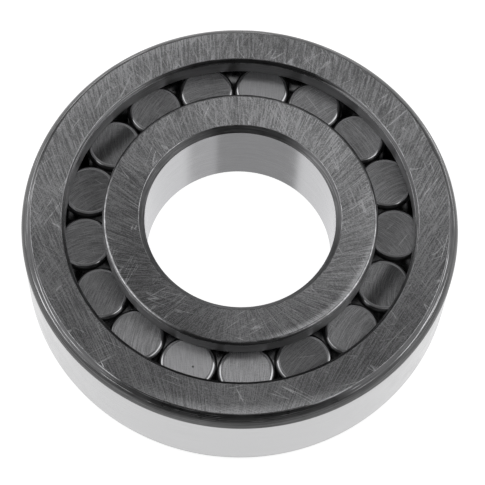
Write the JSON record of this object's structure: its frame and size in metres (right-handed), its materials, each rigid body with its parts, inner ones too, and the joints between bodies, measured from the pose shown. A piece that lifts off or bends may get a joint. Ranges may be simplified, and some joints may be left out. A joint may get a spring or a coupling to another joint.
{
  "type": "cylindrical roller bearing",
  "caption": "Full-complement cylindrical roller bearing: a ribbed outer ring, a ribbed inner ring with a plain bore, and steel rollers packed side by side between them with no cage.",
  "frame": {"origin": "on the bearing's axis, at the middle of its width", "axes": "+Z along the bearing's axis towards the side where the inner ring has its rib; +X through the centre of roller_01"},
  "size_m": [0.08, 0.08, 0.021],
  "materials": {
    "outer_ring_steel": "ground faces, honed outside wall",
    "inner_ring_steel": "ground faces, honed bore",
    "roller_steel": "ground ends, honed rolling surface"
  },
  "bodies": {
    "outer_ring": {"outer_ring": "outer_ring_steel"},
    "inner_ring": {"inner_ring": "inner_ring_steel"},
    "roller_01": {"roller_01": "roller_steel"},
    "roller_02": {"roller_02": "roller_steel"},
    "roller_03": {"roller_03": "roller_steel"},
    "roller_04": {"roller_04": "roller_steel"},
    "roller_05": {"roller_05": "roller_steel"},
    "roller_06": {"roller_06": "roller_steel"},
    "roller_07": {"roller_07": "roller_steel"},
    "roller_08": {"roller_08": "roller_steel"},
    "roller_09": {"roller_09": "roller_steel"},
    "roller_10": {"roller_10": "roller_steel"},
    "roller_11": {"roller_11": "roller_steel"},
    "roller_12": {"roller_12": "roller_steel"},
    "roller_13": {"roller_13": "roller_steel"},
    "roller_14": {"roller_14": "roller_steel"},
    "roller_15": {"roller_15": "roller_steel"},
    "roller_16": {"roller_16": "roller_steel"},
    "roller_17": {"roller_17": "roller_steel"}
  },
  "joints": [
    {"name": "inner_ring_spin", "type": "hinge", "parent": "outer_ring", "child": "inner_ring", "pos_m": [0, 0, 0], "axis": [0, 0, 1], "continuous": true},
    {"name": "roller_orbit", "type": "hinge", "parent": "outer_ring", "child": "roller_01", "pos_m": [0, 0, 0], "axis": [0, 0, 1], "continuous": true},
    {"name": "roller_02_spin", "type": "hinge", "parent": "roller_01", "child": "roller_02", "pos_m": [0.02672, 0.01035, 0], "axis": [0, 0, 1], "continuous": true},
    {"name": "roller_03_spin", "type": "hinge", "parent": "roller_01", "child": "roller_03", "pos_m": [0.02117, 0.0193, 0], "axis": [0, 0, 1], "continuous": true},
    {"name": "roller_04_spin", "type": "hinge", "parent": "roller_01", "child": "roller_04", "pos_m": [0.01277, 0.02565, 0], "axis": [0, 0, 1], "continuous": true},
    {"name": "roller_05_spin", "type": "hinge", "parent": "roller_01", "child": "roller_05", "pos_m": [0.00264, 0.02853, 0], "axis": [0, 0, 1], "continuous": true},
    {"name": "roller_06_spin", "type": "hinge", "parent": "roller_01", "child": "roller_06", "pos_m": [-0.00784, 0.02756, 0], "axis": [0, 0, 1], "continuous": true},
    {"name": "roller_07_spin", "type": "hinge", "parent": "roller_01", "child": "roller_07", "pos_m": [-0.01727, 0.02287, 0], "axis": [0, 0, 1], "continuous": true},
    {"name": "roller_08_spin", "type": "hinge", "parent": "roller_01", "child": "roller_08", "pos_m": [-0.02436, 0.01508, 0], "axis": [0, 0, 1], "continuous": true},
    {"name": "roller_09_spin", "type": "hinge", "parent": "roller_01", "child": "roller_09", "pos_m": [-0.02817, 0.00526, 0], "axis": [0, 0, 1], "continuous": true},
    {"name": "roller_10_spin", "type": "hinge", "parent": "roller_01", "child": "roller_10", "pos_m": [-0.02817, -0.00526, 0], "axis": [0, 0, 1], "continuous": true},
    {"name": "roller_11_spin", "type": "hinge", "parent": "roller_01", "child": "roller_11", "pos_m": [-0.02436, -0.01508, 0], "axis": [0, 0, 1], "continuous": true},
    {"name": "roller_12_spin", "type": "hinge", "parent": "roller_01", "child": "roller_12", "pos_m": [-0.01727, -0.02287, 0], "axis": [0, 0, 1], "continuous": true},
    {"name": "roller_13_spin", "type": "hinge", "parent": "roller_01", "child": "roller_13", "pos_m": [-0.00784, -0.02756, 0], "axis": [0, 0, 1], "continuous": true},
    {"name": "roller_14_spin", "type": "hinge", "parent": "roller_01", "child": "roller_14", "pos_m": [0.00264, -0.02853, 0], "axis": [0, 0, 1], "continuous": true},
    {"name": "roller_15_spin", "type": "hinge", "parent": "roller_01", "child": "roller_15", "pos_m": [0.01277, -0.02565, 0], "axis": [0, 0, 1], "continuous": true},
    {"name": "roller_16_spin", "type": "hinge", "parent": "roller_01", "child": "roller_16", "pos_m": [0.02117, -0.0193, 0], "axis": [0, 0, 1], "continuous": true},
    {"name": "roller_17_spin", "type": "hinge", "parent": "roller_01", "child": "roller_17", "pos_m": [0.02672, -0.01035, 0], "axis": [0, 0, 1], "continuous": true}
  ],
  "couplings": [
    {"joint": "roller_orbit", "follows": "inner_ring_spin", "ratio": 0.40839},
    {"joint": "roller_02_spin", "follows": "inner_ring_spin", "ratio": -2.6373},
    {"joint": "roller_03_spin", "follows": "inner_ring_spin", "ratio": -2.6373},
    {"joint": "roller_04_spin", "follows": "inner_ring_spin", "ratio": -2.6373},
    {"joint": "roller_05_spin", "follows": "inner_ring_spin", "ratio": -2.6373},
    {"joint": "roller_06_spin", "follows": "inner_ring_spin", "ratio": -2.6373},
    {"joint": "roller_07_spin", "follows": "inner_ring_spin", "ratio": -2.6373},
    {"joint": "roller_08_spin", "follows": "inner_ring_spin", "ratio": -2.6373},
    {"joint": "roller_09_spin", "follows": "inner_ring_spin", "ratio": -2.6373},
    {"joint": "roller_10_spin", "follows": "inner_ring_spin", "ratio": -2.6373},
    {"joint": "roller_11_spin", "follows": "inner_ring_spin", "ratio": -2.6373},
    {"joint": "roller_12_spin", "follows": "inner_ring_spin", "ratio": -2.6373},
    {"joint": "roller_13_spin", "follows": "inner_ring_spin", "ratio": -2.6373},
    {"joint": "roller_14_spin", "follows": "inner_ring_spin", "ratio": -2.6373},
    {"joint": "roller_15_spin", "follows": "inner_ring_spin", "ratio": -2.6373},
    {"joint": "roller_16_spin", "follows": "inner_ring_spin", "ratio": -2.6373},
    {"joint": "roller_17_spin", "follows": "inner_ring_spin", "ratio": -2.6373}
  ]
}
